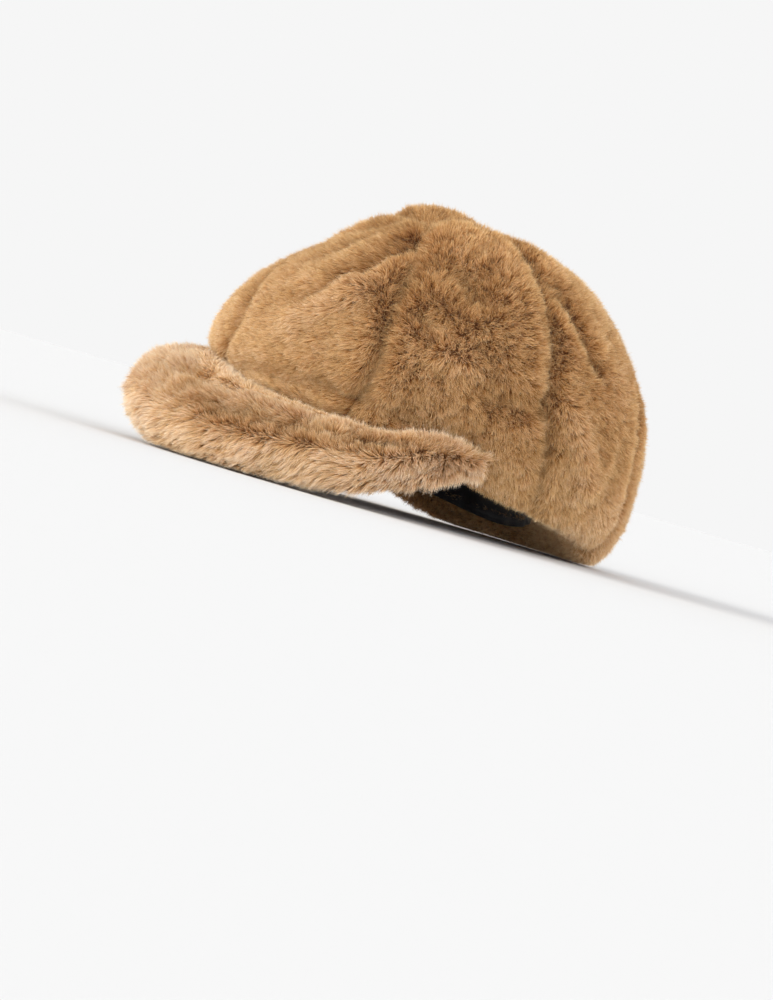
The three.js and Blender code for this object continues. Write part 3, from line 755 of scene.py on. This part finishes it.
# ---------------------------------------------------------------- the band
n_az, n_sec = 240, 14
az = np.arange(n_az) / n_az * 360
zb = crown_column("hem_z", az) - BAND_DROP
ripple = 0.35 * np.sin(az * RAD * 23) + 0.2 * np.sin(az * RAD * 37 + 1)
rings = []
for s in range(n_sec):
    t = s / (n_sec // 2 - 1) if s < n_sec // 2 else (n_sec - 1 - s) / (n_sec // 2 - 1)
    grow = BAND_THICK if s < n_sec // 2 else 0.0
    grow = mix(grow, BAND_THICK / 2, 0.8 if t in (0.0, 1.0) else 0.0)
    z = zb + 0.2 + (BAND_HEIGHT - 0.4) * t
    rings.append(np.stack([(OPENING_WIDE / 2 + grow + ripple * (1 - t)) * np.sin(az * RAD),
                           -(OPENING_LONG / 2 + grow + ripple * (1 - t)) * np.cos(az * RAD), z], 1))
ring = np.stack(rings, 1)
idx = np.arange(n_az * n_sec).reshape(n_az, n_sec)
nx, ns = np.roll(idx, -1, 0), np.roll(idx, -1, 1)
quads = np.stack([idx.ravel(), nx.ravel(), np.roll(nx, -1, 1).ravel(), ns.ravel()], 1)
band = new_object("inner_band_satin", ring.reshape(-1, 3), quads, [satin])
put(band, "band_satin", "inner_band")

# ---------------------------------------------------------------- studio
BACKGROUND = srgb(246, 246, 246)
floor_me = bpy.data.meshes.new("floor")
floor_me.from_pydata([(-60, -60, 0), (60, -60, 0), (60, 60, 0), (-60, 60, 0)], [], [(0, 1, 2, 3)])
floor_mat, _, fb = new_material("floor")
fb.inputs["Base Color"].default_value = (0.804, 0.798, 0.799, 1)
fb.inputs["Roughness"].default_value = 1.0
fb.inputs["Specular IOR Level"].default_value = 0.0
floor_me.materials.append(floor_mat)
floor = bpy.data.objects.new("floor", floor_me)
scene.collection.objects.link(floor)

world = bpy.data.worlds.new("studio")
scene.world = world
world.use_nodes = True
wt = world.node_tree
wt.nodes.clear()
w_out, w_mix, w_path = wt.nodes.new("ShaderNodeOutputWorld"), wt.nodes.new("ShaderNodeMixShader"), wt.nodes.new("ShaderNodeLightPath")
w_seen, w_light = wt.nodes.new("ShaderNodeBackground"), wt.nodes.new("ShaderNodeBackground")
w_seen.inputs["Color"].default_value = BACKGROUND
w_coord, w_sep, w_ramp = wt.nodes.new("ShaderNodeTexCoord"), wt.nodes.new("ShaderNodeSeparateXYZ"), wt.nodes.new("ShaderNodeValToRGB")
w_ramp.color_ramp.elements[0].color = (1.20, 1.21, 1.22, 1)
w_ramp.color_ramp.elements[1].color = (0.60, 0.61, 0.62, 1)
wt.links.new(w_coord.outputs["Generated"], w_sep.inputs[0])
wt.links.new(w_sep.outputs["Z"], w_ramp.inputs[0])
wt.links.new(w_ramp.outputs["Color"], w_light.inputs["Color"])
w_light.inputs["Strength"].default_value = 0.95
wt.links.new(w_path.outputs["Is Camera Ray"], w_mix.inputs[0])
wt.links.new(w_light.outputs[0], w_mix.inputs[1])
wt.links.new(w_seen.outputs[0], w_mix.inputs[2])
wt.links.new(w_mix.outputs[0], w_out.inputs[0])


def sun(name, az, el, strength, angle, colour):
    """A soft light from azimuth az and elevation el, seen from the cap."""
    data = bpy.data.lights.new(name, "SUN")
    data.energy, data.angle, data.color = strength, math.radians(angle), colour
    ob = bpy.data.objects.new(name, data)
    scene.collection.objects.link(ob)
    d = Vector((math.sin(az * RAD) * math.cos(el * RAD), -math.cos(az * RAD) * math.cos(el * RAD), math.sin(el * RAD)))
    ob.rotation_euler = d.to_track_quat("Z", "Y").to_euler()
    return ob


sun("key", -20, 24, 1.9, 40, (1.0, 0.995, 0.95))
sun("fill", 122, 18, 1.0, 60, (0.97, 0.985, 1.0))
sun("front", 44, 5, 1.2, 60, (1.0, 0.98, 0.95))

scene.view_settings.view_transform = "Standard"
scene.view_settings.look = "None"
scene.view_settings.exposure = 0.0
scene.view_settings.gamma = 1.0
